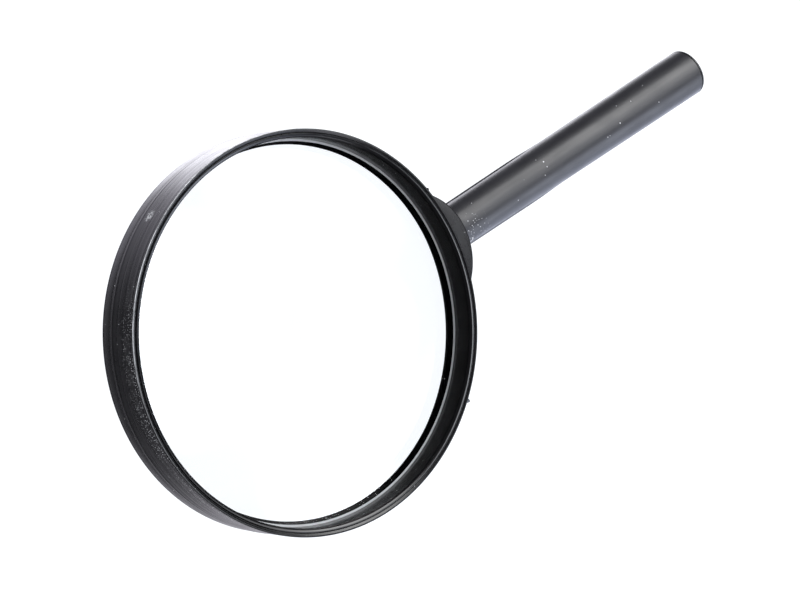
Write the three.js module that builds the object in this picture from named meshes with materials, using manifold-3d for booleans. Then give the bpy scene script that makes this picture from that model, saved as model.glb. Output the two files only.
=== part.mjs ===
// A hand magnifying glass: a biconvex lens in a deep round rim, on a tapered handle.
//
// Millimetres, +Z up. It lies on the rim's rear face, with the optical axis along +Z, the front of the
// lens up and the handle along +X. The origin is at the middle of the whole outline, on the table.

import * as THREE from 'three';
import { mergeVertices } from 'three/addons/utils/BufferGeometryUtils.js';
import Module from 'manifold-3d';

const wasm = await Module();
wasm.setup();

// ---------------------------------------------------------------- driving dimensions

const RIM_R = 48.5;              // outer radius of the rim
const RIM_DEPTH = 15;            // rim, from its rear face to its front lip
const BORE_R = 47.6;             // bore that takes the lens and the retaining ring
const HANDLE_END_X = 143;        // lens axis to the far end of the handle
const HANDLE_AXIS_Z = 6.6;       // height of the handle's axis over the rear face

const EDGE_ROUND = 0.2;          // moulded edges of the rim
const LIP_FLAT_R = 48.1;         // the front lip is flat outside this, and slopes inwards inside it
const LIP_DISH = 0.2;
const FIT_GAP = 0.1;             // between pressed pieces, radially
const SEAT_GAP = 0.15;           // between the lens and what holds it

const REAR_BAND_Z = 3.6;         // shallow mould line around the rim's outside
const REAR_BAND_R = 48.3;        // the rim is a little smaller behind that line
const MOULD_LINE_DEPTH = 0.12;

const LENS_R = 47.2;
const LENS_EDGE = 2;             // thickness at the rim
const LENS_CURVE_R = 250;        // radius of each face, for a focal length of about 240
const LENS_MID_Z = 7.1;          // the lens sits a little nearer to the rear face
const LENS_BEVEL_R = 45.7;       // the front face has a ground bevel outside this
const LENS_BEVEL = 0.15;         // how far the bevel falls below the face's curve at the lens's edge

const SEAT_R = 44.9;             // clear aperture of the rear lens seat, which is a thin flange
const SEAT_THICKNESS = 0.8;
const SEAT_UNDERCUT = 0.6;       // the flange's rear face slopes this far back to the wall
const REAR_MOUTH_R = 46.5;       // wall behind the flange, and inner edge of the rear face

const SLEEVE_THROAT_R = 46.4;    // retaining ring: its wall, under a rounded lip
const SLEEVE_LIP_ROUND = 1;
const SLEEVE_SETBACK = 0.15;     // its lip sits just below the rim's

const BOSS_CENTRE_X = 35.5;      // the boss is an arc of this centre and radius
const BOSS_R = 17;
const BOSS_BLEND_R = 4;          // concave blend into the rim
const BOSS_SETBACK = 0.8;        // its faces are inside the rim's
const BOSS_ROOT_R = 48.05;       // where it ends, inside the rim's wall

const GATE_BURRS = [             // trimmed moulding gates: angle from the handle, and how far they stand out
  { angle: 16.6, proud: 0.45, width: 1.2 },
  { angle: -49.6, proud: 0.8, width: 1.6 },
];
const GATE_BURR_HEIGHT = 0.9;

const HANDLE_SEAT_X = 51;        // bottom of the shallow socket in the boss
const HANDLE_BASE_R = 5.66;
const HANDLE_TIP_R = 6.35;
const SOCKET_R = 5.85;
const HANDLE_CORE_START_X = 65;  // solid before this, cored out after it
const HANDLE_CORE_R = 4.15;
const HANDLE_CORE_TIP_R = 4.75;

const CAP_FLANGE = 0.7;
const CAP_GAP = 0.12;
const CAP_PLUG_LENGTH = 6.5;

const STUD_HEAD_X = 48.4;        // stud head, captive in the boss
const STUD_HEAD_THICKNESS = 1.1;
const STUD_HEAD_R = 3.8;
const STUD_R = 2.5;              // M5 by 0.8
const STUD_ROOT_R = 2.04;
const STUD_PITCH = 0.8;
const STUD_THREAD_X = 51.4;
const STUD_END_X = 63;
const STUD_CLEARANCE = 0.12;

const RING_SEGMENTS = 72;
const HANDLE_SEGMENTS = 40;
const STUD_SEGMENTS = 16;

// ---------------------------------------------------------------- helpers

const degrees = THREE.MathUtils.degToRad;

// A profile of [radius, height] points turned about +Z, with its faces pointing out.
function turned(profile, segments) {
  const points = profile.map(([radius, height]) => new THREE.Vector2(radius, height));
  return outward(new THREE.LatheGeometry(points, segments).rotateX(Math.PI / 2));
}

// A closed ring: its profile comes back to the first point.
function turnedRing(profile, segments) {
  return turned([...profile, profile[0]], segments);
}

function welded(geometry) {
  const bare = geometry.clone();
  bare.deleteAttribute('normal');
  bare.deleteAttribute('uv');
  return mergeVertices(bare, 1e-4);
}

function signedVolume(geometry) {
  const { position } = geometry.attributes;
  const corners = geometry.index.array;
  const [a, b, c] = [new THREE.Vector3(), new THREE.Vector3(), new THREE.Vector3()];
  let total = 0;
  for (let i = 0; i < corners.length; i += 3) {
    a.fromBufferAttribute(position, corners[i]);
    b.fromBufferAttribute(position, corners[i + 1]);
    c.fromBufferAttribute(position, corners[i + 2]);
    total += a.dot(b.cross(c)) / 6;
  }
  return total;
}

// Welds a closed geometry, drops the triangles that have no area, and turns it right side out.
function outward(geometry) {
  const solid = welded(geometry);
  const corners = Array.from(solid.index.array);
  const kept = [];
  for (let i = 0; i < corners.length; i += 3) {
    const [a, b, c] = corners.slice(i, i + 3);
    if (a !== b && b !== c && c !== a) kept.push(a, b, c);
  }
  solid.setIndex(kept);
  if (signedVolume(solid) < 0) {
    for (let i = 0; i < kept.length; i += 3) [kept[i], kept[i + 1]] = [kept[i + 1], kept[i]];
    solid.setIndex(kept);
  }
  return solid;
}

function toManifold(geometry) {
  const solid = outward(geometry);
  return new wasm.Manifold(new wasm.Mesh({
    numProp: 3,
    vertProperties: new Float32Array(solid.attributes.position.array),
    triVerts: new Uint32Array(solid.index.array),
  }));
}

function fromManifold(manifold) {
  const mesh = manifold.getMesh();
  const geometry = new THREE.BufferGeometry();
  geometry.setAttribute('position', new THREE.BufferAttribute(new Float32Array(mesh.vertProperties), 3));
  geometry.setIndex(new THREE.BufferAttribute(new Uint32Array(mesh.triVerts), 1));
  return geometry;
}

// Moves a shape that was turned about +Z onto the handle's axis, which runs along +X from the lens axis.
function alongHandle(geometry) {
  return geometry.clone().rotateY(Math.PI / 2).translate(0, 0, HANDLE_AXIS_Z);
}

function plastic(color, roughness) {
  return new THREE.MeshStandardMaterial({ color, roughness, metalness: 0 });
}

function piece(name, geometry, material) {
  const mesh = new THREE.Mesh(geometry, material);
  mesh.name = name;
  return mesh;
}

// How far a lens face falls away from its middle at a radius.
function lensFall(radius) {
  return LENS_CURVE_R - Math.sqrt(LENS_CURVE_R ** 2 - radius ** 2);
}

// Height of the lens's front face at a radius. The rear face is its mirror image.
function lensFrontZ(radius) {
  return LENS_MID_Z + LENS_EDGE / 2 + lensFall(LENS_R) - lensFall(radius);
}

function lensRearZ(radius) {
  return 2 * LENS_MID_Z - lensFrontZ(radius);
}

function onCircle(radius, angle) {
  return [radius * Math.cos(angle), radius * Math.sin(angle)];
}

// ---------------------------------------------------------------- rim_body

function rimRing() {
  const half = EDGE_ROUND * 0.3;
  const groove = REAR_BAND_R - MOULD_LINE_DEPTH;
  const seatTop = lensRearZ(SEAT_R + 0.2) - SEAT_GAP;
  return turnedRing([
    [REAR_MOUTH_R, 0],
    [REAR_BAND_R - EDGE_ROUND, 0],
    [REAR_BAND_R - half, half],
    [REAR_BAND_R, EDGE_ROUND],
    [REAR_BAND_R, REAR_BAND_Z - 0.2],
    [groove, REAR_BAND_Z],
    [RIM_R, REAR_BAND_Z + 0.35],
    [RIM_R, RIM_DEPTH - EDGE_ROUND],
    [RIM_R - half, RIM_DEPTH - half],
    [RIM_R - EDGE_ROUND, RIM_DEPTH],
    [LIP_FLAT_R, RIM_DEPTH],
    [BORE_R, RIM_DEPTH - LIP_DISH],
    [BORE_R, lensRearZ(LENS_R) - SEAT_GAP],
    [SEAT_R + 0.2, seatTop],
    [SEAT_R, seatTop - 0.2],
    [SEAT_R, seatTop - SEAT_THICKNESS],
    [REAR_MOUTH_R, seatTop - SEAT_THICKNESS - SEAT_UNDERCUT],
  ], RING_SEGMENTS);
}

// The boss seen from the front: an arc that flows into the rim's circle through a concave blend at each end.
function bossOutline() {
  const blendFromAxis = RIM_R + BOSS_BLEND_R;
  const blendFromBoss = BOSS_R + BOSS_BLEND_R;
  const blendX = (blendFromAxis ** 2 - blendFromBoss ** 2 + BOSS_CENTRE_X ** 2) / (2 * BOSS_CENTRE_X);
  const blendY = Math.sqrt(blendFromAxis ** 2 - blendX ** 2);
  const rimAngle = Math.atan2(blendY, blendX);
  const bossAngle = Math.atan2(blendY, blendX - BOSS_CENTRE_X);
  const outline = new THREE.Shape();
  outline.moveTo(...onCircle(BOSS_ROOT_R, -rimAngle));
  outline.absarc(blendX, -blendY, BOSS_BLEND_R, Math.PI - rimAngle, Math.PI - bossAngle, true);
  outline.absarc(BOSS_CENTRE_X, 0, BOSS_R, -bossAngle, bossAngle, false);
  outline.absarc(blendX, blendY, BOSS_BLEND_R, Math.PI + bossAngle, Math.PI + rimAngle, true);
  outline.lineTo(...onCircle(BOSS_ROOT_R, rimAngle));
  outline.absarc(0, 0, BOSS_ROOT_R, rimAngle, -rimAngle, true);
  return outline;
}

function boss() {
  const block = new THREE.ExtrudeGeometry(bossOutline(), {
    depth: RIM_DEPTH - 2 * BOSS_SETBACK,
    bevelEnabled: false,
    curveSegments: 10,
  });
  return block.translate(0, 0, BOSS_SETBACK);
}

// The socket for the handle, the hole for the stud and the space around its head, as one cutter.
function socketCutter() {
  const neckR = STUD_R + STUD_CLEARANCE;
  const headR = STUD_HEAD_R + STUD_CLEARANCE;
  const headStart = STUD_HEAD_X - STUD_CLEARANCE;
  const headEnd = STUD_HEAD_X + STUD_HEAD_THICKNESS + STUD_CLEARANCE;
  return alongHandle(turned([
    [0, headStart],
    [headR, headStart],
    [headR, headEnd],
    [neckR, headEnd],
    [neckR, HANDLE_SEAT_X],
    [SOCKET_R, HANDLE_SEAT_X],
    [SOCKET_R, HANDLE_SEAT_X + 5],
    [0, HANDLE_SEAT_X + 5],
  ], HANDLE_SEGMENTS));
}

// A trimmed gate: a small wedge on the rim's outside, near the front lip.
function gateBurr({ angle, proud, width }) {
  const wedge = new THREE.Shape();
  wedge.moveTo(RIM_R - 0.4, -width / 2);
  wedge.lineTo(RIM_R + proud * 0.6, -width / 4);
  wedge.lineTo(RIM_R + proud, width / 8);
  wedge.lineTo(RIM_R - 0.4, width / 2);
  const solid = new THREE.ExtrudeGeometry(wedge, { depth: GATE_BURR_HEIGHT, bevelEnabled: false });
  return solid.translate(0, 0, RIM_DEPTH - EDGE_ROUND - GATE_BURR_HEIGHT).rotateZ(degrees(angle));
}

function rimBody() {
  let rim = toManifold(rimRing()).add(toManifold(boss()));
  for (const burr of GATE_BURRS) rim = rim.add(toManifold(gateBurr(burr)));
  return fromManifold(rim.subtract(toManifold(socketCutter())));
}

// ---------------------------------------------------------------- retaining_ring and lens

// The ring's wall is thin: a rounded lip at the front, and a plain foot that holds the lens by its edge.
function retainingRing() {
  const lip = RIM_DEPTH - SLEEVE_SETBACK;
  const outer = BORE_R - FIT_GAP;
  const roundedLip = [90, 120, 150, 180].map((turn) => {
    const [across, up] = onCircle(SLEEVE_LIP_ROUND, degrees(turn));
    return [SLEEVE_THROAT_R + SLEEVE_LIP_ROUND + across, lip - SLEEVE_LIP_ROUND + up];
  });
  return turnedRing([
    [outer, lensFrontZ(LENS_R) + SEAT_GAP],
    [outer, lip - 0.2],
    ...roundedLip,
    [SLEEVE_THROAT_R, lensFrontZ(SLEEVE_THROAT_R) + SEAT_GAP],
  ], RING_SEGMENTS);
}

function lens() {
  const steps = 6;
  const shares = Array.from({ length: steps + 1 }, (_, i) => i / steps);
  const rear = shares.map((share) => [LENS_R * share, lensRearZ(LENS_R * share)]);
  const front = shares.map((share) => [LENS_BEVEL_R * share, lensFrontZ(LENS_BEVEL_R * share)]).reverse();
  return turned([...rear, [LENS_R, lensFrontZ(LENS_R) - LENS_BEVEL], ...front], RING_SEGMENTS);
}

// ---------------------------------------------------------------- handle, end_cap and handle_stud
// These are turned about their own +Z, which the handle's group lays along +X.

function handle() {
  const base = HANDLE_SEAT_X + FIT_GAP;
  const tip = HANDLE_END_X - CAP_FLANGE - CAP_GAP;
  const holeR = STUD_R + STUD_CLEARANCE;
  return turnedRing([
    [holeR, base],
    [HANDLE_BASE_R - 0.3, base],
    [HANDLE_BASE_R, base + 0.3],
    [HANDLE_TIP_R, tip - 0.15],
    [HANDLE_TIP_R - 0.15, tip],
    [HANDLE_CORE_TIP_R, tip],
    [HANDLE_CORE_R, HANDLE_CORE_START_X],
    [holeR, HANDLE_CORE_START_X - 1],
  ], HANDLE_SEGMENTS);
}

function endCap() {
  const seat = HANDLE_END_X - CAP_FLANGE;
  const plugR = HANDLE_CORE_TIP_R - 0.15;
  return turned([
    [0, seat - CAP_PLUG_LENGTH],
    [plugR - 0.5, seat - CAP_PLUG_LENGTH],
    [plugR - 0.1, seat - CAP_PLUG_LENGTH + 1],
    [plugR, seat],
    [HANDLE_TIP_R - 0.1, seat],
    [HANDLE_TIP_R, seat + 0.1],
    [HANDLE_TIP_R, HANDLE_END_X - 0.35],
    [HANDLE_TIP_R - 0.1, HANDLE_END_X - 0.1],
    [HANDLE_TIP_R - 0.35, HANDLE_END_X],
    [0, HANDLE_END_X],
  ], HANDLE_SEGMENTS);
}

// Radius of the thread at a place along it and around it: a symmetrical ridge, one turn for each pitch.
function threadRadius(distance, turn) {
  const phase = distance / STUD_PITCH - turn;
  const ridge = 1 - 2 * Math.abs(phase - Math.round(phase));
  return STUD_ROOT_R + (STUD_R - STUD_ROOT_R) * ridge;
}

// The stud: a round head, a plain neck, and a helical thread with a point-chamfered end.
function handleStud() {
  const headEnd = STUD_HEAD_X + STUD_HEAD_THICKNESS;
  const plainR = STUD_R - 0.05;
  const rings = [
    { z: STUD_HEAD_X, radius: () => STUD_HEAD_R },
    { z: headEnd, radius: () => STUD_HEAD_R },
    { z: headEnd, radius: () => plainR },
    { z: STUD_THREAD_X - 0.4, radius: () => plainR },
  ];
  const stepsPerTurn = 4;
  const steps = Math.round(((STUD_END_X - 0.5 - STUD_THREAD_X) / STUD_PITCH) * stepsPerTurn);
  for (let i = 0; i <= steps; i += 1) {
    const along = (i * STUD_PITCH) / stepsPerTurn;
    rings.push({ z: STUD_THREAD_X + along, radius: (turn) => threadRadius(along, turn) });
  }
  rings.push({ z: STUD_END_X, radius: () => STUD_ROOT_R - 0.3 });

  const positions = [];
  for (const { z, radius } of rings) {
    for (let j = 0; j < STUD_SEGMENTS; j += 1) {
      const turn = j / STUD_SEGMENTS;
      positions.push(...onCircle(radius(turn), turn * 2 * Math.PI), z);
    }
  }
  const firstCentre = positions.length / 3;
  positions.push(0, 0, STUD_HEAD_X, 0, 0, STUD_END_X);

  const corners = [];
  for (let j = 0; j < STUD_SEGMENTS; j += 1) {
    const next = (j + 1) % STUD_SEGMENTS;
    for (let k = 0; k < rings.length - 1; k += 1) {
      const low = k * STUD_SEGMENTS;
      const high = low + STUD_SEGMENTS;
      corners.push(low + j, low + next, high + next, low + j, high + next, high + j);
    }
    const last = (rings.length - 1) * STUD_SEGMENTS;
    corners.push(firstCentre, next, j, firstCentre + 1, last + j, last + next);
  }
  const geometry = new THREE.BufferGeometry();
  geometry.setAttribute('position', new THREE.Float32BufferAttribute(positions, 3));
  geometry.setIndex(corners);
  return geometry;
}

// ---------------------------------------------------------------- assembly

const rimPlastic = plastic(0x1c1c20, 0.32);
const sleevePlastic = plastic(0x131316, 0.28);
const handlePlastic = plastic(0x2a2a2e, 0.36);
const capPlastic = plastic(0x1e1e22, 0.36);
const steel = new THREE.MeshStandardMaterial({ color: 0xb4b6b8, roughness: 0.35, metalness: 1 });
const glass = new THREE.MeshStandardMaterial({
  color: 0xf2f8fa,
  roughness: 0.02,
  metalness: 0,
  transparent: true,
  opacity: 0.35,
});

const head = new THREE.Group();
head.add(
  piece('rim_body', rimBody(), rimPlastic),
  piece('retaining_ring', retainingRing(), sleevePlastic),
  piece('lens', lens(), glass),
);

const handleGroup = new THREE.Group();
handleGroup.position.set(0, 0, HANDLE_AXIS_Z);
handleGroup.rotation.y = Math.PI / 2;
handleGroup.add(
  piece('handle', handle(), handlePlastic),
  piece('end_cap', endCap(), capPlastic),
  piece('handle_stud', handleStud(), steel),
);

const magnifier = new THREE.Group();
magnifier.position.x = (RIM_R - HANDLE_END_X) / 2;
magnifier.add(head, handleGroup);

export default magnifier;
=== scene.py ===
# The finished look of a hand magnifying glass: a biconvex lens in a deep round rim, on a tapered handle.
# Metres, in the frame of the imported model. It lies on the rim's rear face, with the handle along +X and the
# lens axis along +Z.
import math
import bpy
from mathutils import Matrix, Quaternion, Vector


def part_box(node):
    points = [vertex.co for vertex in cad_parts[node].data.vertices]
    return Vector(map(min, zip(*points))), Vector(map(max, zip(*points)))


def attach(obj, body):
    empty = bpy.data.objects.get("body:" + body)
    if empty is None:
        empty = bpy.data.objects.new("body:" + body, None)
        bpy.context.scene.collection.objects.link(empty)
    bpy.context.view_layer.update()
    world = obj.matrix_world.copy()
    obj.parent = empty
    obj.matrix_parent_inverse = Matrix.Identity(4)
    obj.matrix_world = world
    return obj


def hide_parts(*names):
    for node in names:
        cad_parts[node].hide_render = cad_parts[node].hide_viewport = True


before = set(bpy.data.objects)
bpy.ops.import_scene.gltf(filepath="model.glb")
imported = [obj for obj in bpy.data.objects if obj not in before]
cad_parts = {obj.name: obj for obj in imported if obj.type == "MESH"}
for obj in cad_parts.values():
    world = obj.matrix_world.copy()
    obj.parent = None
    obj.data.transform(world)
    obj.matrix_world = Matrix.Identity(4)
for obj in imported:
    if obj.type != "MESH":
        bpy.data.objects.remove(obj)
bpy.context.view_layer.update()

MM = 0.001

# ------------------------------------------------------------------ sizes, from the frame and in millimetres


def box_mm(node):
    low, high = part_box(node)
    return Vector(low) / MM, Vector(high) / MM


rim_low, rim_high = box_mm("rim_body")
ring_low, ring_high = box_mm("retaining_ring")
lens_low, lens_high = box_mm("lens")
handle_low, handle_high = box_mm("handle")
cap_low, cap_high = box_mm("end_cap")

AXIS_X = (ring_low.x + ring_high.x) / 2          # the lens axis
RIM_R = AXIS_X - rim_low.x
RIM_DEPTH = rim_high.z
LENS_R = (lens_high.y - lens_low.y) / 2
LENS_MID_Z = (lens_low.z + lens_high.z) / 2
HANDLE_AXIS_Z = (handle_low.z + handle_high.z) / 2
HANDLE_TIP_R = (handle_high.z - handle_low.z) / 2

BORE_R = 47.6
REAR_BAND_Z = 3.6                                # the shallow mould line around the outside
REAR_BAND_R = 48.3                               # the wall behind that line
REAR_BAND_STEP = 0.3                             # the height over which it steps out to the main wall
MOULD_LINE_HALF_WIDTH = 0.22
MOULD_LINE_DEPTH = 0.07
WALL_R = RIM_R - 0.06                            # the main wall, just inside the edge of the front lip
RIDGE_Z = 4.9                                    # a faint ridge round the wall
RIDGE_HALF_WIDTH = 0.55
RIDGE_HEIGHT = 0.03
FAINT_LINES = [                                  # height, half width and depth of the lines in front of it
    (7.6, 0.3, 0.015),
    (10.2, 0.5, 0.012),
]
SWELL_Z = 12.2                                   # the wall swells a little from here to the front lip
SWELL_LENGTH = 2
SWELL_HEIGHT = 0.05

EDGE_ROUND = 0.2
MOUTH_ROUND = 0.15                               # inner edge of the rear face
LIP_EDGE_ROUND = 0.12                            # the front lip's outer edge is nearly sharp
LIP_FLAT_R = 48.1                                # the lip is flat outside this, and slopes inwards inside it
LIP_DISH = 0.3                                   # how far that slope falls
BORE_ROUND = 0.08                                # where the slope meets the bore

LENS_EDGE = 2
LENS_CURVE_R = 250
LENS_BEVEL_R = 45.7                              # the front face has a ground bevel outside this
LENS_BEVEL = 0.15                                # how far the bevel falls below the curve at the lens's edge
LENS_EDGE_BREAK = 0.12                           # the rear edge is broken by this much
SEAT_R = 44.9                                    # the seat behind the lens is a thin flange
SEAT_THICKNESS = 0.8
SEAT_UNDERCUT = 0.6                              # its rear face slopes this far back to the mouth's wall
SEAT_ROUND = 0.2
SEAT_FOOT_ROUND = 0.1
REAR_MOUTH_R = 46.5                              # the wall behind the flange
SEAT_GAP = 0.15                                  # between the lens and what holds it

SLEEVE_R = (ring_high.x - ring_low.x) / 2
SLEEVE_LIP_Z = ring_high.z
SLEEVE_THROAT_R = 46.4
SLEEVE_LIP_ROUND = 1
SLEEVE_BACK_ROUND = 0.2                          # the lip's outer edge, towards the bore
SLEEVE_FOOT_ROUND = 0.08                         # the inner edge that stands on the lens

BOSS_CENTRE_X = 35.5                             # from the lens axis
BOSS_R = 17
BOSS_BLEND_R = 4
BOSS_SETBACK = 0.8                               # its faces are this far inside the rim's
BOSS_EDGE_ROUND = 0.55
BOSS_FADE = 0.6                                  # the wall's relief is gone where the boss stands out by this

HANDLE_BASE_R = 5.66
HANDLE_SEAT_X = 51
HANDLE_CORE_START_X = 65                         # solid before this, and cored out after it
HANDLE_CORE_R = 4.15
HANDLE_CORE_TIP_R = 4.75
HANDLE_ROOT_ROUND = 0.3
HANDLE_TIP_ROUND = 0.15
SOCKET_R = 5.85
SOCKET_REACH = 4                                 # the cutter's length, which ends outside the boss
STUD_HOLE_R = 2.62
STUD_HOLE_DEPTH = 2.4

CAP_GAP = 0.12
CAP_PLUG_R = 4.6
CAP_PLUG_TAPER = 0.6
CAP_PLUG_TAPER_LENGTH = 1.2
CAP_SEAM_ROUND = 0.1
CAP_EDGE_ROUND = 0.5
CAP_MARK_R = 1.5                                 # the small round gate mark in the middle of its face
CAP_MARK_DEPTH = 0.15

GATE_BURRS = [                                   # angle from the handle, height over the wall, half width
    (16.6, 0.7, 0.8),
    (-49.6, 1.2, 0.9),
]
BURR_DROP = 0.95                                 # from the front lip down to the middle of a burr
BURR_HALF_HEIGHT = 0.62
BURR_LEAN = 0.25                                 # its peak is this share of its half width off its middle
BURR_SIDE_SLOPE = 1.25                           # a slope over one cuts the peak off flat
BURR_END_SLOPE = 1.6

FLASH_HEIGHT = 0.32                              # the handle's parting line: a fine ridge on each side
FLASH_HALF_WIDTH = 0.45
FLASH_END_X = 92                                 # it has been trimmed away beyond this
FLASH_FADE = 14                                  # and gets lower over this length before it
FLASH_RISE = 1.5                                 # it rises over this length at the handle's root
FLASH_ANGLE = -14                                # it is this far round from the +Y side, and opposite that

# ------------------------------------------------------------------ mesh helpers


SMOOTH_ANGLE = 30                                # a fold sharper than this is left as an edge


def arc(centre, radius, start, end, steps):
    """Points of a round stretch, by its angles in degrees."""
    points = []
    for i in range(steps + 1):
        a = math.radians(start + (end - start) * i / steps)
        points.append((centre[0] + radius * math.cos(a), centre[1] + radius * math.sin(a)))
    return points


def make_piece(name, vertices, faces, smooth_angle=SMOOTH_ANGLE):
    """A closed mesh from millimetres, turned right side out, smooth except at its real edges."""
    mesh = bpy.data.meshes.new(name)
    mesh.from_pydata([Vector(v) * MM for v in vertices], [], faces)
    mesh.validate()
    piece = bpy.data.objects.new(name, mesh)
    bpy.context.scene.collection.objects.link(piece)
    if signed_volume(mesh) < 0:
        mesh.flip_normals()
    mesh.shade_smooth()
    mesh.set_sharp_from_angle(angle=math.radians(smooth_angle))
    return piece


def signed_volume(mesh):
    mesh.calc_loop_triangles()
    total = 0.0
    for t in mesh.loop_triangles:
        a, b, c = (mesh.vertices[i].co for i in t.vertices)
        total += a.dot(b.cross(c))
    return total / 6


def ring_around_lens(name, section, angles):
    """A closed section of (radius, height) carried round the lens axis. It may change with the angle."""
    vertices = []
    for a in angles:
        for radius, height in section(a):
            vertices.append((AXIS_X + radius * math.cos(a), radius * math.sin(a), height))
    count = len(vertices) // len(angles)
    faces = []
    for i in range(len(angles)):
        here = i * count
        there = ((i + 1) % len(angles)) * count
        for j in range(count):
            k = (j + 1) % count
            faces.append((here + j, there + j, there + k, here + k))
    return make_piece(name, vertices, faces)


def even_angles(count):
    return [2 * math.pi * i / count for i in range(count)]


def turned(name, profile, place, angles, closed, ridge=None, smooth_angle=SMOOTH_ANGLE):
    """A profile of (radius, distance) turned about an axis. One that isn't closed starts and ends on it."""
    inner = profile if closed else profile[1:-1]
    segments = len(angles)
    vertices = []
    for a in angles:
        for radius, along in inner:
            reach = radius + (ridge(radius, along, a) if ridge else 0)
            vertices.append(place(reach * math.cos(a), reach * math.sin(a), along))
    count = len(inner)
    faces = []
    for s in range(segments):
        here = s * count
        there = ((s + 1) % segments) * count
        for j in range(count if closed else count - 1):
            k = (j + 1) % count
            faces.append((here + j, there + j, there + k, here + k))
    if not closed:
        first = len(vertices)
        vertices.append(place(0, 0, profile[0][1]))
        vertices.append(place(0, 0, profile[-1][1]))
        for s in range(segments):
            here = s * count
            there = ((s + 1) % segments) * count
            faces.append((first, there, here))
            faces.append((first + 1, here + count - 1, there + count - 1))
    return make_piece(name, vertices, faces, smooth_angle)


def about_lens_axis(x, y, along):
    return (AXIS_X + x, y, along)


def about_handle_axis(x, y, along):
    return (AXIS_X + along, x, HANDLE_AXIS_Z + y)


def cut(piece, cutter):
    """Cuts one mesh out of another and removes the cutter."""
    modifier = piece.modifiers.new("cut", "BOOLEAN")
    modifier.operation = "DIFFERENCE"
    modifier.solver = "EXACT"
    modifier.object = cutter
    shaped = bpy.data.meshes.new_from_object(piece.evaluated_get(bpy.context.evaluated_depsgraph_get()))
    piece.modifiers.remove(modifier)
    piece.data = shaped
    bpy.data.objects.remove(cutter)
    shaped.set_sharp_from_angle(angle=math.radians(SMOOTH_ANGLE))


def smoothstep(x):
    x = min(max(x, 0.0), 1.0)
    return x * x * (3 - 2 * x)


# ------------------------------------------------------------------ rim_body


def lens_fall(radius):
    return LENS_CURVE_R - math.sqrt(LENS_CURVE_R ** 2 - radius ** 2)


def lens_front_z(radius):
    return LENS_MID_Z + LENS_EDGE / 2 + lens_fall(LENS_R) - lens_fall(radius)


def lens_rear_z(radius):
    return 2 * LENS_MID_Z - lens_front_z(radius)


def blend_centre():
    from_axis = RIM_R + BOSS_BLEND_R
    from_boss = BOSS_R + BOSS_BLEND_R
    x = (from_axis ** 2 - from_boss ** 2 + BOSS_CENTRE_X ** 2) / (2 * BOSS_CENTRE_X)
    return x, math.sqrt(from_axis ** 2 - x ** 2)


BLEND_X, BLEND_Y = blend_centre()
BLEND_END = math.atan2(BLEND_Y, BLEND_X)
BOSS_TANGENT = math.atan2(BLEND_Y, BLEND_X - BOSS_CENTRE_X)
BLEND_START = math.atan2(BOSS_R * math.sin(BOSS_TANGENT), BOSS_CENTRE_X + BOSS_R * math.cos(BOSS_TANGENT))


def boss_radius(angle):
    """How far from the lens axis the outline of rim and boss is, at an angle from the handle."""
    a = abs(math.remainder(angle, 2 * math.pi))
    if a >= BLEND_END:
        return RIM_R
    if a >= BLEND_START:
        near = BLEND_X * math.cos(a) + BLEND_Y * math.sin(a)
        return near - math.sqrt(max(near ** 2 - BLEND_X ** 2 - BLEND_Y ** 2 + BOSS_BLEND_R ** 2, 0))
    near = BOSS_CENTRE_X * math.cos(a)
    return near + math.sqrt(near ** 2 - BOSS_CENTRE_X ** 2 + BOSS_R ** 2)


def wedge(z, centre, half_width):
    """One at the centre, and down in a straight line to nought at the half width on both sides."""
    return max(0.0, 1 - abs(z - centre) / half_width)


def wall_radius(z):
    """The outer wall's shallow relief: rear band, mould line, ridge, fainter lines and swell."""
    radius = REAR_BAND_R + (WALL_R - REAR_BAND_R) * smoothstep((z - REAR_BAND_Z) / REAR_BAND_STEP)
    radius -= MOULD_LINE_DEPTH * wedge(z, REAR_BAND_Z, MOULD_LINE_HALF_WIDTH)
    radius += RIDGE_HEIGHT * smoothstep(1.5 * wedge(z, RIDGE_Z, RIDGE_HALF_WIDTH))
    for height, half_width, depth in FAINT_LINES:
        radius -= depth * wedge(z, height, half_width)
    radius += SWELL_HEIGHT * smoothstep((z - SWELL_Z) / SWELL_LENGTH)
    return radius


def burr_height(angle, z):
    """The trimmed gates: sharp little lumps on the wall, just behind the front lip."""
    up = min(wedge(z, RIM_DEPTH - BURR_DROP, BURR_HALF_HEIGHT) * BURR_END_SLOPE, 1.0)
    total = 0.0
    for degrees, height, half_width in GATE_BURRS:
        lean = BURR_LEAN * half_width
        from_peak = math.remainder(angle - math.radians(degrees), 2 * math.pi) * RIM_R - lean
        side = max(0.0, 1 - abs(from_peak) / (half_width - math.copysign(lean, from_peak)))
        total += height * min(side * BURR_SIDE_SLOPE, 1.0) * up
    return total


def spread(low, high, steps):
    return [low + (high - low) * i / steps for i in range(steps + 1)]


def wall_heights():
    """Heights of the points up the outer wall: close together wherever its relief changes."""
    heights = spread(REAR_BAND_Z - 0.375, REAR_BAND_Z + 0.45, 11)
    heights += spread(RIDGE_Z - 0.7, RIDGE_Z + 0.5, 8)
    heights += [5.6, 6.4]
    heights += spread(7.2, 8.0, 8)
    heights += [9.0]
    heights += spread(9.7, 10.7, 4)
    heights += [11.4]
    heights += spread(SWELL_Z, SWELL_Z + SWELL_LENGTH / 2, 2)
    return heights


WALL_HEIGHTS = wall_heights()
LIP_STEP = 0.11
LIP_HEIGHTS = [RIM_DEPTH - LIP_EDGE_ROUND - LIP_STEP * i for i in range(6, 0, -1)]


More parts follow.
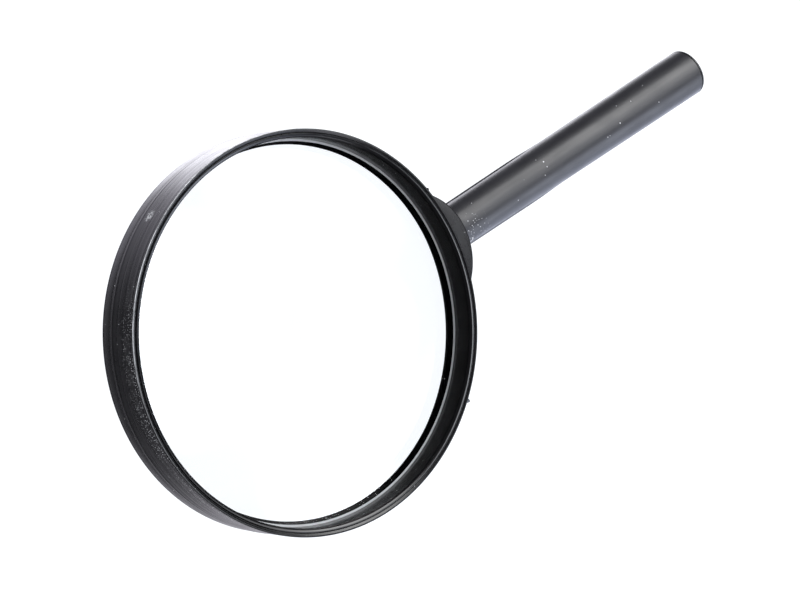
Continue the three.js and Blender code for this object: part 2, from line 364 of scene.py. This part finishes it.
def rim_section(angle):
    """The rim's section, from the mouth's rear edge over the wall or the boss to the lip, bore and seat."""
    outline = boss_radius(angle)
    stand_out = outline - RIM_R
    on_boss = smoothstep(stand_out / BOSS_FADE)
    edge = min(BOSS_EDGE_ROUND, stand_out * 0.6 + 1e-3)
    low = BOSS_SETBACK
    high = RIM_DEPTH - BOSS_SETBACK

    def wall(z):
        plain = wall_radius(z)
        return plain + (outline - plain) * on_boss

    points = arc((REAR_MOUTH_R + MOUTH_ROUND, MOUTH_ROUND), MOUTH_ROUND, 180, 270, 3)
    points += arc((REAR_BAND_R - EDGE_ROUND, EDGE_ROUND), EDGE_ROUND, -90, 0, 5)
    foot = wall(low)
    points.append((REAR_BAND_R, low - 0.02))
    points += arc((foot - edge, low + edge), edge, -90, 0, 6)
    points += [(wall(z), z) for z in WALL_HEIGHTS]
    crown = wall(high - edge)
    points += [(crown + burr_height(angle, high - edge), high - edge)]
    points += arc((crown - edge, high - edge), edge, 15, 90, 5)
    points += [(RIM_R + burr_height(angle, z), z) for z in LIP_HEIGHTS]
    lip_centre = (RIM_R - LIP_EDGE_ROUND, RIM_DEPTH - LIP_EDGE_ROUND)
    points += arc(lip_centre, LIP_EDGE_ROUND, 0, 90, 5)
    points.append((LIP_FLAT_R, RIM_DEPTH))
    points += arc((BORE_R + BORE_ROUND, RIM_DEPTH - LIP_DISH - BORE_ROUND), BORE_ROUND, 80, 180, 4)
    points.append((BORE_R, lens_rear_z(LENS_R) - SEAT_GAP))
    seat_top = lens_rear_z(SEAT_R + SEAT_ROUND) - SEAT_GAP
    seat_foot = seat_top - SEAT_THICKNESS
    seat_root = seat_foot - SEAT_UNDERCUT
    points += arc((SEAT_R + SEAT_ROUND, seat_top - SEAT_ROUND), SEAT_ROUND, 90, 180, 5)
    points += arc((SEAT_R + SEAT_FOOT_ROUND, seat_foot + SEAT_FOOT_ROUND), SEAT_FOOT_ROUND, 180, 240, 3)
    points.append((REAR_MOUTH_R - 2 * SEAT_FOOT_ROUND, seat_root + SEAT_FOOT_ROUND))
    points.append((REAR_MOUTH_R, seat_root - SEAT_FOOT_ROUND))
    return points


def rim_angles():
    """Every half degree, closer around the boss, and closest at the burrs."""
    steps = [math.radians(i * 0.5) for i in range(-360, 360)]
    steps += [math.radians(i * 0.125) for i in range(-150, 151) if i % 4]
    for degrees, _, _ in GATE_BURRS:
        steps += [math.radians(degrees + i * 0.06) for i in range(-22, 23)]
    steps.sort()
    kept = [steps[0]]
    for a in steps[1:]:
        if a - kept[-1] > math.radians(0.03):
            kept.append(a)
    return kept


def socket_cutter():
    profile = [
        (0, HANDLE_SEAT_X - STUD_HOLE_DEPTH),
        (STUD_HOLE_R, HANDLE_SEAT_X - STUD_HOLE_DEPTH),
        (STUD_HOLE_R, HANDLE_SEAT_X),
        (SOCKET_R, HANDLE_SEAT_X),
        (SOCKET_R, HANDLE_SEAT_X + SOCKET_REACH),
        (0, HANDLE_SEAT_X + SOCKET_REACH),
    ]
    return turned("socket_cutter", profile, about_handle_axis, even_angles(128), closed=False)


def make_rim():
    rim = ring_around_lens("rim", rim_section, rim_angles())
    cut(rim, socket_cutter())
    return rim


# ------------------------------------------------------------------ the other pieces


def make_sleeve():
    """The retaining ring: a rounded lip and a plain wall, which stands on the edge of the lens."""
    foot_z = lens_front_z(SLEEVE_THROAT_R) + SEAT_GAP
    back_centre = (SLEEVE_R - SLEEVE_BACK_ROUND, SLEEVE_LIP_Z - SLEEVE_BACK_ROUND)
    lip_centre = (SLEEVE_THROAT_R + SLEEVE_LIP_ROUND, SLEEVE_LIP_Z - SLEEVE_LIP_ROUND)
    foot_centre = (SLEEVE_THROAT_R + SLEEVE_FOOT_ROUND, foot_z + SLEEVE_FOOT_ROUND)

    def section(_):
        points = [(SLEEVE_R, lens_front_z(LENS_R) + SEAT_GAP)]
        points += arc(back_centre, SLEEVE_BACK_ROUND, 0, 80, 4)
        points += arc(lip_centre, SLEEVE_LIP_ROUND, 90, 180, 14)
        points += arc(foot_centre, SLEEVE_FOOT_ROUND, 180, 270, 4)
        return points

    return ring_around_lens("sleeve", section, even_angles(720))


def make_lens():
    """Both faces from the axis to the edge, with the ground bevel in front and a broken edge behind."""
    steps = 48
    rear = [(r, lens_rear_z(r)) for r in spread(0, LENS_R - LENS_EDGE_BREAK, steps)]
    edge = [(LENS_R, lens_rear_z(LENS_R) + LENS_EDGE_BREAK), (LENS_R, lens_front_z(LENS_R) - LENS_BEVEL)]
    front = [(r, lens_front_z(r)) for r in spread(LENS_BEVEL_R, 0, steps)]
    profile = rear + edge + front
    return turned("lens_glass", profile, about_lens_axis, even_angles(256), closed=False, smooth_angle=1)


def handle_radius(x, start, tip):
    """The straight taper from the root to the wide end."""
    return HANDLE_BASE_R + (HANDLE_TIP_R - HANDLE_BASE_R) * (x - start) / (tip - start)


def handle_angles():
    """Even steps, and closer ones across the parting line on each side."""
    angles = even_angles(180)
    for side in (FLASH_ANGLE, FLASH_ANGLE + 180):
        angles += [math.radians(side + i * 0.5) for i in range(-10, 11) if i % 4]
    return sorted(a % (2 * math.pi) for a in angles)


def parting_line(radius, along, angle):
    """Height of the fine ridge on the handle's outside. The bore has none."""
    if radius < HANDLE_BASE_R - 0.01:
        return 0
    nearest = math.remainder(angle - math.radians(FLASH_ANGLE), math.pi)
    fade = smoothstep((FLASH_END_X - along) / FLASH_FADE) * smoothstep((along - HANDLE_SEAT_X) / FLASH_RISE)
    return FLASH_HEIGHT * fade * wedge(nearest * radius, 0, FLASH_HALF_WIDTH)


def make_handle():
    """The grip: rounded at the root, tapered, and cored out from the wide end."""
    start = handle_low.x - AXIS_X
    tip = handle_high.x - AXIS_X
    steps = 24
    profile = [(STUD_HOLE_R, start)]
    root_centre = (HANDLE_BASE_R - HANDLE_ROOT_ROUND, start + HANDLE_ROOT_ROUND)
    profile += arc(root_centre, HANDLE_ROOT_ROUND, -90, 0, 5)
    for x in spread(start + HANDLE_ROOT_ROUND, tip - HANDLE_ROOT_ROUND, steps)[1:-1]:
        profile.append((handle_radius(x, start, tip), x))
    profile += arc((HANDLE_TIP_R - HANDLE_TIP_ROUND, tip - HANDLE_TIP_ROUND), HANDLE_TIP_ROUND, 0, 90, 5)
    profile.append((HANDLE_CORE_TIP_R, tip))
    profile.append((HANDLE_CORE_R, HANDLE_CORE_START_X))
    profile.append((STUD_HOLE_R, HANDLE_CORE_START_X - 1))
    return turned("handle_grip", profile, about_handle_axis, handle_angles(), closed=True,
                  ridge=parting_line, smooth_angle=20)


def make_cap():
    """The plug in the handle's wide end, with a rounded face and a shallow gate mark in its middle."""
    start = cap_low.x - AXIS_X
    seat = handle_high.x + CAP_GAP - AXIS_X
    end = cap_high.x - AXIS_X
    profile = [
        (0, start),
        (CAP_PLUG_R - CAP_PLUG_TAPER, start),
        (CAP_PLUG_R, start + CAP_PLUG_TAPER_LENGTH),
        (CAP_PLUG_R, seat),
    ]
    profile += arc((HANDLE_TIP_R - CAP_SEAM_ROUND, seat + CAP_SEAM_ROUND), CAP_SEAM_ROUND, -90, 0, 3)
    profile += arc((HANDLE_TIP_R - CAP_EDGE_ROUND, end - CAP_EDGE_ROUND), CAP_EDGE_ROUND, 0, 90, 9)
    profile.append((CAP_MARK_R, end))
    profile.append((CAP_MARK_R - 0.2, end - 0.8 * CAP_MARK_DEPTH))
    profile.append((0, end - CAP_MARK_DEPTH))
    return turned("handle_cap", profile, about_handle_axis, even_angles(160), closed=False)


# ------------------------------------------------------------------ materials


class Nodes:
    """A short way to write a node tree."""

    def __init__(self, tree):
        self.tree = tree
        tree.nodes.clear()

    def add(self, kind, inputs=(), **settings):
        made = self.tree.nodes.new(kind)
        for key, value in settings.items():
            setattr(made, key, value)
        for key, value in dict(inputs).items():
            if isinstance(value, bpy.types.NodeSocket):
                self.tree.links.new(value, made.inputs[key])
            else:
                made.inputs[key].default_value = value
        return made

    def math(self, operation, a, b=0.0, clamp=False):
        made = self.add("ShaderNodeMath", {0: a, 1: b}, operation=operation, use_clamp=clamp)
        return made.outputs[0]

    def range(self, value, low, high, to_low=0.0, to_high=1.0, smooth=True):
        kind = "SMOOTHSTEP" if smooth else "LINEAR"
        made = self.add(
            "ShaderNodeMapRange",
            {"Value": value, "From Min": low, "From Max": high, "To Min": to_low, "To Max": to_high},
            interpolation_type=kind,
        )
        return made.outputs["Result"]

    def noise(self, vector, scale, detail=3.0, roughness=0.5):
        made = self.add(
            "ShaderNodeTexNoise",
            {"Vector": vector, "Scale": scale, "Detail": detail, "Roughness": roughness},
        )
        return made.outputs["Fac"]

    def mix(self, factor, a, b):
        made = self.add("ShaderNodeMix", data_type="RGBA")
        for socket, value in ((made.inputs[0], factor), (made.inputs[6], a), (made.inputs[7], b)):
            if isinstance(value, bpy.types.NodeSocket):
                self.tree.links.new(value, socket)
            else:
                socket.default_value = value
        return made.outputs[2]

    def patch(self, angle, centre, half_width, softness):
        """One where an angle is near a centre, and fading to nought on both sides, in degrees."""
        facing = self.math("COSINE", self.math("SUBTRACT", angle, math.radians(centre)))
        gone = math.cos(math.radians(half_width + softness))
        return self.range(facing, gone, math.cos(math.radians(half_width)))

    def away(self, surface, along, over):
        """Distance over a surface from a place on it, which is given in millimetres."""
        made = self.add(
            "ShaderNodeVectorMath",
            {0: surface, 1: (along * MM, over * MM, 0)},
            operation="DISTANCE",
        )
        return made.outputs["Value"]

    def specks(self, surface, spacing, size, share):
        """Small round specks on a surface: at most one to a cell, and only in a share of the cells."""
        cells = self.add(
            "ShaderNodeTexVoronoi",
            {"Vector": surface, "Scale": 1 / (spacing * MM)},
            voronoi_dimensions="2D",
        )
        chosen = self.add("ShaderNodeSeparateColor", {"Color": cells.outputs["Color"]})
        pick = self.math("GREATER_THAN", chosen.outputs[0], 1 - share)
        radius = self.range(chosen.outputs[1], 0, 1, size * 0.4 / spacing, size / spacing, smooth=False)
        edge = self.math("SUBTRACT", radius, cells.outputs["Distance"])
        spot = self.math("MULTIPLY", edge, 12.0 * spacing, clamp=True)
        return self.math("MULTIPLY", spot, pick)


def new_material(name):
    material = bpy.data.materials.new(name)
    material.use_nodes = True
    return material, Nodes(material.node_tree)


def around_lens(nodes, position):
    """Coordinates that follow the rim: angle round the lens axis, height and radius."""
    place = nodes.add("ShaderNodeSeparateXYZ", {"Vector": position})
    x = nodes.math("SUBTRACT", place.outputs[0], AXIS_X * MM)
    y = place.outputs[1]
    angle = nodes.math("ARCTAN2", y, x)
    flat = nodes.add("ShaderNodeCombineXYZ", {0: x, 1: y})
    radius = nodes.add("ShaderNodeVectorMath", {0: flat.outputs[0]}, operation="LENGTH").outputs["Value"]
    return angle, place.outputs[2], radius


def over_rim(nodes, position):
    """The rim unrolled: the way round it, and the way up its wall and on over the front lip."""
    angle, height, radius = around_lens(nodes, position)
    along = nodes.math("MULTIPLY", angle, RIM_R * MM)
    over = nodes.math("SUBTRACT", nodes.math("ADD", height, RIM_R * MM), radius)
    surface = nodes.add("ShaderNodeCombineXYZ", {0: along, 1: over}).outputs[0]
    return surface, angle, over


def over_handle(nodes, position):
    """The handle unrolled: the way along it, and the way round it from its +Y side over the top."""
    place = nodes.add("ShaderNodeSeparateXYZ", {"Vector": position})
    up = nodes.math("SUBTRACT", place.outputs[2], HANDLE_AXIS_Z * MM)
    angle = nodes.math("ARCTAN2", up, place.outputs[1])
    around = nodes.math("MULTIPLY", angle, HANDLE_BASE_R * MM)
    return nodes.add("ShaderNodeCombineXYZ", {0: place.outputs[0], 1: around}).outputs[0]


PLASTIC_SPECULAR = 0.5
# Pale tone of the dust, scuffs and grains, and of the rim's painted edge highlight.
DUST_AND_HIGHLIGHT_TONE = (0.86, 0.87, 0.9, 1)


def moulded_plastic(name, colour, roughness, streaks=None, marks=None, bump=0.05, shine=None):
    """Black moulded plastic: a faint mottle in gloss, the mould's streaks, dust and small scuffs, and on the
    rim a painted highlight along the lip's outer edge.
    """
    material, nodes = new_material(name)
    position = nodes.add("ShaderNodeTexCoord").outputs["Object"]
    mottle = nodes.noise(position, 180, detail=4)
    grain = nodes.noise(position, 2600, detail=2)
    gloss = nodes.range(mottle, 0.3, 0.7, roughness - 0.02, roughness + 0.03)
    height = nodes.math("MULTIPLY", grain, 0.4)
    if streaks:
        flow = streaks(nodes, position)
        gloss = nodes.math("ADD", gloss, nodes.range(flow, 0.35, 0.65, -0.02, 0.025))
        height = nodes.math("ADD", height, nodes.math("MULTIPLY", flow, 0.4))
    base = nodes.mix(mottle, (*[c * 0.8 for c in colour], 1), (*[c * 1.25 for c in colour], 1))
    scratch_place = nodes.add("ShaderNodeMapping", {"Vector": position, "Scale": (500, 3500, 900)})
    scratches = nodes.range(nodes.noise(scratch_place.outputs[0], 1.0, detail=1), 0.71, 0.76)
    gloss = nodes.math("ADD", gloss, nodes.math("MULTIPLY", scratches, 0.05))
    if marks:
        # The marks, and on the rim the painted edge highlight, are pale, rougher and raised.
        marks_and_highlight = marks(nodes, position)
        base = nodes.mix(marks_and_highlight, base, DUST_AND_HIGHLIGHT_TONE)
        gloss = nodes.math("ADD", gloss, nodes.math("MULTIPLY", marks_and_highlight, 0.4), clamp=True)
        height = nodes.math("ADD", height, nodes.math("MULTIPLY", marks_and_highlight, 2.0))
    relief = nodes.add("ShaderNodeBump", {"Height": height, "Strength": bump, "Distance": 0.0002})
    shader = nodes.add(
        "ShaderNodeBsdfPrincipled",
        {
            "Base Color": base,
            "Roughness": gloss,
            "Specular IOR Level": shine(nodes, position) if shine else PLASTIC_SPECULAR,
            "Normal": relief.outputs[0],
        },
    )
    nodes.add("ShaderNodeOutputMaterial", {"Surface": shader.outputs[0]})
    return material


def ring_streaks(nodes, position):
    """Fine lines round the rim, which drift slowly along their length."""
    angle, height, radius = around_lens(nodes, position)
    lines_per_metre = 900.0
    place = nodes.add(
        "ShaderNodeCombineXYZ",
        {
            0: nodes.math("MULTIPLY", angle, 1.2),
            1: nodes.math("MULTIPLY", height, lines_per_metre),
            2: nodes.math("MULTIPLY", radius, lines_per_metre),
        },
    )
    return nodes.noise(place.outputs[0], 1.0, detail=3, roughness=0.6)


def rim_shine(nodes, position):
    """The rim is polished outside its bore. The seat and the mouth behind the lens are dull."""
    _, _, radius = around_lens(nodes, position)
    polished = nodes.math("GREATER_THAN", radius, (BORE_R - 0.1) * MM)
    return nodes.math("MULTIPLY", polished, PLASTIC_SPECULAR)


def handle_streaks(nodes, position):
    """Very long, faint draw marks along the handle."""
    place = nodes.add("ShaderNodeMapping", {"Vector": position, "Scale": (25, 700, 700)})
    return nodes.noise(place.outputs[0], 1.0, detail=2)


def strongest(nodes, amounts):
    total = amounts[0]
    for amount in amounts[1:]:
        total = nodes.math("MAXIMUM", total, amount)
    return total


DUSTY_SIDE = (-170, 28, 30)                      # angle round the rim, half width and softness, in degrees
# The side of the painted highlight along the lip's outer edge, and its width in millimetres.
EDGE_HIGHLIGHT_SIDE = (112, 34, 28)
EDGE_HIGHLIGHT_WIDTH = 0.17
SCUFF_ANGLE = 117
SCUFF_HEIGHT = 8


def rim_marks_and_highlight(nodes, position):
    """Dust gathered along the front lip on one side, a painted highlight along the lip's outer edge on
    another side (a lighter, rougher strip), a scuffed patch and single grains.
    """
    surface, angle, over = over_rim(nodes, position)
    towards_lip = nodes.range(over, 8 * MM, 13 * MM)
    short_of_lip = nodes.range(over, (RIM_DEPTH - 0.1) * MM, (RIM_DEPTH - 0.5) * MM)
    on_wall = nodes.math("MULTIPLY", towards_lip, short_of_lip)
    dusty = nodes.math("MULTIPLY", on_wall, nodes.patch(angle, *DUSTY_SIDE))
    clumps = nodes.range(nodes.noise(position, 160, detail=1), 0.36, 0.56, 0.45, 1.0)
    specks = nodes.specks(surface, 0.55, 0.14, 0.6)
    fine = nodes.math("MULTIPLY", specks, nodes.math("MULTIPLY", dusty, clumps))

    # Painted highlight: the lip's outer edge is made lighter and rougher on one side, broken up by noise.
    from_edge = nodes.math("ABSOLUTE", nodes.math("SUBTRACT", over, (RIM_DEPTH - 0.03) * MM))
    edge = nodes.range(from_edge, EDGE_HIGHLIGHT_WIDTH * MM, 0.08 * MM)
    highlight_breakup = nodes.range(nodes.noise(position, 500, detail=2), 0.3, 0.6, 0.35, 1.0)
    edge_highlight = nodes.math("MULTIPLY", nodes.math("MULTIPLY", edge, highlight_breakup), nodes.patch(angle, *EDGE_HIGHLIGHT_SIDE))
    faint_edge_highlight = nodes.math("MULTIPLY", edge_highlight, 0.75)

    from_scuff = nodes.away(surface, math.radians(SCUFF_ANGLE) * RIM_R, SCUFF_HEIGHT)
    scratchy = nodes.range(nodes.noise(position, 1800, detail=2), 0.5, 0.6)
    scuff = nodes.math("MULTIPLY", nodes.range(from_scuff, 2 * MM, 0.9 * MM), scratchy)
    faint_scuff = nodes.math("MULTIPLY", scuff, 0.5)

    grains = nodes.specks(surface, 4.5, 0.14, 0.3)
    return strongest(nodes, [fine, grains, faint_edge_highlight, faint_scuff])


HANDLE_GRAINS = [                                # along the handle, round it, and their radius
    (36.7, 6.1, 0.22),
    (36.7, 7.6, 0.15),
    (35.0, 9.1, 0.13),
    (24.5, 10.8, 0.13),
    (58.1, 9.9, 0.13),
    (63.5, 8.6, 0.2),
    (78.0, 9.6, 0.14),
]
NICK_R = 0.8                                     # the curved nick is part of a circle of this radius


def handle_marks(nodes, position):
    """Scuffs and a curved nick at the handle's root, and single grains along it."""
    surface = over_handle(nodes, position)
    root = handle_low.x
    near_root = nodes.range(nodes.away(surface, root + 5, 11.5), 6.5 * MM, 3 * MM)
    amounts = [nodes.math("MULTIPLY", nodes.specks(surface, 0.8, 0.15, 0.5), near_root)]
    from_nick = nodes.away(surface, root + 3.6, 13.6)
    from_circle = nodes.math("ABSOLUTE", nodes.math("SUBTRACT", from_nick, NICK_R * MM))
    circle = nodes.range(from_circle, 0.18 * MM, 0.07 * MM)
    kept_side = nodes.range(nodes.away(surface, root + 4.4, 13.9), 1.1 * MM, 0.8 * MM)
    amounts.append(nodes.math("MULTIPLY", circle, kept_side))
    for along, around, radius in HANDLE_GRAINS:
        amounts.append(nodes.range(nodes.away(surface, along, around), radius * MM, 0.5 * radius * MM))
    amounts.append(nodes.specks(surface, 6.0, 0.14, 0.3))
    return strongest(nodes, amounts)


def sleeve_marks(nodes, position):
    surface, _, _ = over_rim(nodes, position)
    return nodes.specks(surface, 4.0, 0.12, 0.25)


GROUND_TONE = (0.86, 0.88, 0.9, 1)
CLEAR_TONE = (0.985, 0.993, 1.0, 1)


def glass():
    """Polished glass with a faint smear. Its front bevel is ground, so it is white and nearly opaque.
    Its rear face mirrors nothing where it lies on the black seat."""
    material, nodes = new_material("lens_glass")
    position = nodes.add("ShaderNodeTexCoord").outputs["Object"]
    _, height, radius = around_lens(nodes, position)
    bevelled = nodes.range(radius, (LENS_BEVEL_R + 0.15) * MM, (LENS_BEVEL_R + 0.25) * MM)
    bevel_foot = lens_front_z(LENS_R) - LENS_BEVEL
    in_front = nodes.math("GREATER_THAN", height, (bevel_foot - 0.02) * MM)
    ground = nodes.math("MULTIPLY", bevelled, in_front)
    chips = nodes.range(nodes.noise(position, 900, detail=3), 0.3, 0.6, 0.75, 1.0)
    tone = nodes.mix(nodes.math("MULTIPLY", ground, chips), CLEAR_TONE, GROUND_TONE)
    smear = nodes.range(nodes.noise(position, 60, detail=3), 0.55, 0.75, 0.0, 0.002)
    at_rear = nodes.math("LESS_THAN", height, LENS_MID_Z * MM)
    seated = nodes.math("MULTIPLY", at_rear, nodes.math("GREATER_THAN", radius, SEAT_R * MM))
    shader = nodes.add(
        "ShaderNodeBsdfPrincipled",
        {
            "Base Color": tone,
            "Roughness": nodes.math("ADD", nodes.math("MULTIPLY", ground, 0.5), smear, clamp=True),
            "IOR": 1.52,
            "Specular Tint": nodes.mix(seated, (1, 1, 1, 1), (0, 0, 0, 1)),
            "Transmission Weight": nodes.math("SUBTRACT", 1.0, nodes.math("MULTIPLY", ground, 0.85)),
        },
    )
    nodes.add("ShaderNodeOutputMaterial", {"Surface": shader.outputs[0]})
    return material


def zinc():
    """Zinc-coated steel of the hidden stud."""
    material, nodes = new_material("stud_zinc")
    position = nodes.add("ShaderNodeTexCoord").outputs["Object"]
    flecks = nodes.noise(position, 900, detail=4)
    colour = nodes.mix(flecks, (0.46, 0.47, 0.49, 1), (0.72, 0.72, 0.7, 1))
    relief = nodes.add("ShaderNodeBump", {"Height": flecks, "Strength": 0.15, "Distance": 0.0001})
    shader = nodes.add(
        "ShaderNodeBsdfPrincipled",
        {
            "Base Color": colour,
            "Roughness": nodes.range(flecks, 0.3, 0.7, 0.28, 0.45),
            "Metallic": 1.0,
            "Normal": relief.outputs[0],
        },
    )
    nodes.add("ShaderNodeOutputMaterial", {"Surface": shader.outputs[0]})
    return material


# ------------------------------------------------------------------ the object


def stand_in(piece, node, material):
    piece.data.materials.clear()
    piece.data.materials.append(material)
    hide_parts(node)
    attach(piece, "root")


RIM_TONE = (0.003, 0.003, 0.0036)
SLEEVE_TONE = (0.0025, 0.0025, 0.003)
HANDLE_TONE = (0.015, 0.015, 0.018)

rim_plastic = moulded_plastic(
    "rim_plastic", RIM_TONE, 0.26, streaks=ring_streaks, marks=rim_marks_and_highlight, bump=0.03, shine=rim_shine
)
sleeve_plastic = moulded_plastic("sleeve_plastic", SLEEVE_TONE, 0.2, marks=sleeve_marks, bump=0.02)
handle_plastic = moulded_plastic(
    "handle_plastic", HANDLE_TONE, 0.4, streaks=handle_streaks, marks=handle_marks
)
cap_plastic = moulded_plastic("cap_plastic", HANDLE_TONE, 0.4)

stand_in(make_rim(), "rim_body", rim_plastic)
stand_in(make_sleeve(), "retaining_ring", sleeve_plastic)
stand_in(make_lens(), "lens", glass())
stand_in(make_handle(), "handle", handle_plastic)
stand_in(make_cap(), "end_cap", cap_plastic)

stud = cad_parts["handle_stud"]
stud.data.materials.clear()
stud.data.materials.append(zinc())

# ------------------------------------------------------------------ floor, light and camera


def direction(azimuth, elevation):
    a = math.radians(azimuth)
    e = math.radians(elevation)
    return Vector((math.cos(a) * math.cos(e), math.sin(a) * math.cos(e), math.sin(e)))


FLOOR_HALF = 2                                   # metres
FLOOR_DROP = 0.0002
FLOOR_GLOW = (1.03, 1.055, 1.085, 1)
FLOOR_GLOW_LOSS = 0.95                           # how much of its glow is missing from mirrored rays


def make_floor():
    """A pale light table. It glows, so that shadows on it stay faint. Glossy surfaces don't mirror it, and
    rays that go on through the lens after a mirror see it dark."""
    corners = [(-1, -1), (1, -1), (1, 1), (-1, 1)]
    vertices = [(x * FLOOR_HALF, y * FLOOR_HALF, -FLOOR_DROP) for x, y in corners]
    mesh = bpy.data.meshes.new("floor")
    mesh.from_pydata(vertices, [], [(0, 1, 2, 3)])
    floor = bpy.data.objects.new("floor", mesh)
    bpy.context.scene.collection.objects.link(floor)
    material, nodes = new_material("pale_floor")
    mirrored = nodes.math("GREATER_THAN", nodes.add("ShaderNodeLightPath").outputs["Glossy Depth"], 0.5)
    glow = nodes.math("SUBTRACT", 1.0, nodes.math("MULTIPLY", mirrored, FLOOR_GLOW_LOSS))
    shader = nodes.add(
        "ShaderNodeBsdfPrincipled",
        {
            "Base Color": (0.12, 0.12, 0.12, 1),
            "Roughness": 0.9,
            "Specular IOR Level": 0.0,
            "Emission Color": FLOOR_GLOW,
            "Emission Strength": glow,
        },
    )
    nodes.add("ShaderNodeOutputMaterial", {"Surface": shader.outputs[0]})
    mesh.materials.append(material)
    floor.visible_glossy = False


# Soft boxes and reflectors of the studio: azimuth, elevation, half width and softness (degrees), and light.
SOFT_LIGHTS = [
    (36, 39, 19, 14, (7.6, 7.6, 7.6)),
    (2, 50, 12, 12, (3.4, 3.45, 3.6)),
    (-28, 76, 11, 10, (8.5, 8.8, 9.4)),
    (-54, 42, 10, 12, (0.8, 0.85, 1.0)),
    (-47, 26, 12, 14, (4.6, 4.9, 5.7)),
    (-65, -1, 20, 16, (1.8, 1.95, 2.4)),
    (-43, -30, 12, 16, (2.0, 2.15, 2.6)),
    (26, -52, 14, 14, (2.8, 2.8, 3.0)),
    (-10, -70, 35, 16, (0.8, 0.78, 0.86)),
    (68, -60, 20, 20, (0.25, 0.24, 0.3)),
    (-92, 22, 7, 8, (3.2, 3.2, 3.5)),
]
STUDIO_DARK = (0.09, 0.09, 0.1)
STUDIO_FILL = (0.86, 0.87, 0.9, 1)
BACKDROP = (1, 1, 1, 1)


def make_world():
    """The studio as glossy surfaces mirror it: soft boxes in a dark room. Matt surfaces get an even fill.
    The backdrop is white where it is seen directly or through the lens."""
    world = bpy.data.worlds.new("studio")
    bpy.context.scene.world = world
    world.use_nodes = True
    nodes = Nodes(world.node_tree)
    towards = nodes.add("ShaderNodeTexCoord").outputs["Generated"]
    mirrored = STUDIO_DARK
    for azimuth, elevation, half_width, softness, light in SOFT_LIGHTS:
        axis = direction(azimuth, elevation)
        along = nodes.add("ShaderNodeVectorMath", {0: towards, 1: axis}, operation="DOT_PRODUCT")
        inner = math.cos(math.radians(max(half_width - softness / 2, 0)))
        outer = math.cos(math.radians(half_width + softness / 2))
        amount = nodes.range(along.outputs["Value"], outer, inner)
        part = nodes.add("ShaderNodeVectorMath", {0: light, "Scale": amount}, operation="SCALE").outputs[0]
        mirrored = nodes.add("ShaderNodeVectorMath", {0: part, 1: mirrored}, operation="ADD").outputs[0]
    path = nodes.add("ShaderNodeLightPath")
    room = nodes.mix(path.outputs["Is Diffuse Ray"], mirrored, STUDIO_FILL)
    straight = nodes.math("MAXIMUM", path.outputs["Is Camera Ray"], path.outputs["Is Transmission Ray"])
    unmirrored = nodes.math("LESS_THAN", path.outputs["Glossy Depth"], 0.5)
    colour = nodes.mix(nodes.math("MULTIPLY", straight, unmirrored), room, BACKDROP)
    background = nodes.add("ShaderNodeBackground", {"Color": colour, "Strength": 1.0})
    nodes.add("ShaderNodeOutputWorld", {"Surface": background.outputs[0]})


CAMERA_AZIMUTH = 152.04
CAMERA_ELEVATION = 55.25
CAMERA_ROLL = 88.84
CAMERA_DISTANCE = 0.6075
CAMERA_AIM = Vector((-0.02144, -0.0054, 0.01487))
CAMERA_LENS = 112.5


def make_camera():
    data = bpy.data.cameras.new("camera")
    data.lens = CAMERA_LENS
    data.sensor_width = 36
    data.clip_start = 0.01
    data.clip_end = 20
    camera = bpy.data.objects.new("camera", data)
    bpy.context.scene.collection.objects.link(camera)
    back = direction(CAMERA_AZIMUTH, CAMERA_ELEVATION)
    turn = (-back).to_track_quat("-Z", "Y") @ Quaternion((0, 0, 1), math.radians(CAMERA_ROLL))
    camera.matrix_world = Matrix.Translation(CAMERA_AIM + back * CAMERA_DISTANCE) @ turn.to_matrix().to_4x4()
    bpy.context.scene.camera = camera


make_floor()
make_world()
make_camera()
bpy.context.scene.view_settings.view_transform = "Standard"
